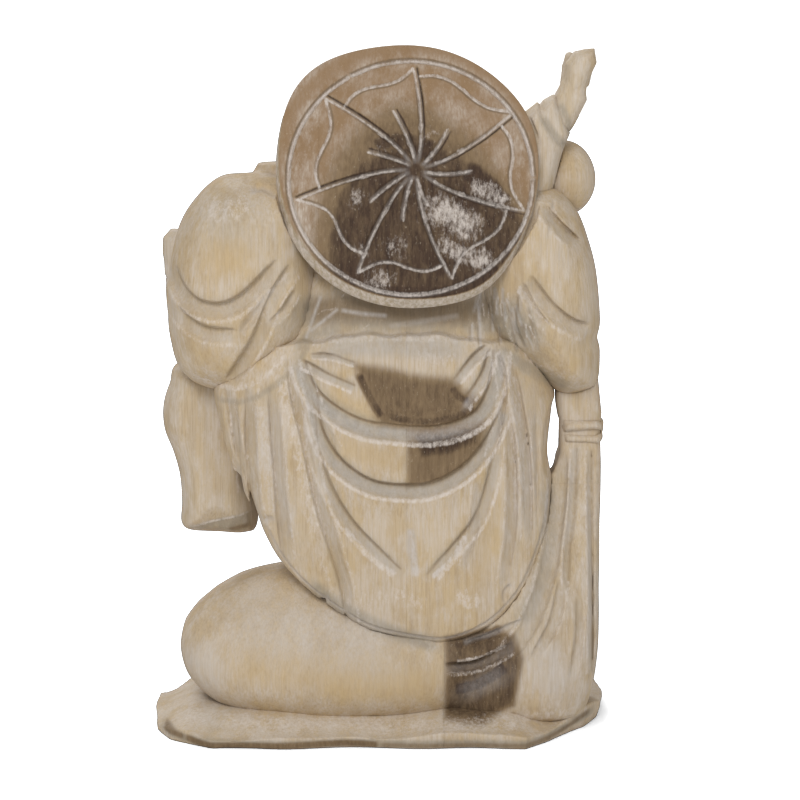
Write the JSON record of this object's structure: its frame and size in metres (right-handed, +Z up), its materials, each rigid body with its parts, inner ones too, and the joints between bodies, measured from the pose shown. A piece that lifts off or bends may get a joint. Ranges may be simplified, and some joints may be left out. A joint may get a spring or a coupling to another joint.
{
  "type": "carved wooden figure",
  "caption": "Free-standing carved softwood figure of a robed travelling monk with a round hat and a cloth sack, on a rough base.",
  "frame": {"origin": "middle of the figure's bounding box, on the flat underside of the base", "axes": "+Z up, the figure's front faces -Y, its own left is +X"},
  "size_m": [0.267, 0.15, 0.399],
  "materials": {
    "whitewashed_wood": "pale softwood, carved and sanded, thin whitewash left in the cuts",
    "cream_wood": "cream softwood, sanded through the whitewash, matt",
    "brown_heartwood": "tan board with brown heartwood in its middle, whitewash in the cuts"
  },
  "bodies": {
    "root": {"base_left_board": "whitewashed_wood", "base_right_board": "whitewashed_wood", "sack_left_board": "cream_wood", "sack_right_board": "whitewashed_wood", "sack_neck": "whitewashed_wood", "sack_tie": "whitewashed_wood", "robe_left_board": "cream_wood", "robe_right_board": "cream_wood", "skirt_front": "cream_wood", "belly_front": "cream_wood", "left_sleeve": "cream_wood", "left_sleeve_drop": "whitewashed_wood", "left_hand": "whitewashed_wood", "right_sleeve": "cream_wood", "right_forearm_cuff": "whitewashed_wood", "right_hand": "whitewashed_wood", "shoulder_gourd": "cream_wood", "hat_left_board": "cream_wood", "hat_right_board": "brown_heartwood", "head": "cream_wood", "left_foot": "cream_wood", "right_foot": "cream_wood"}
  },
  "joints": []
}
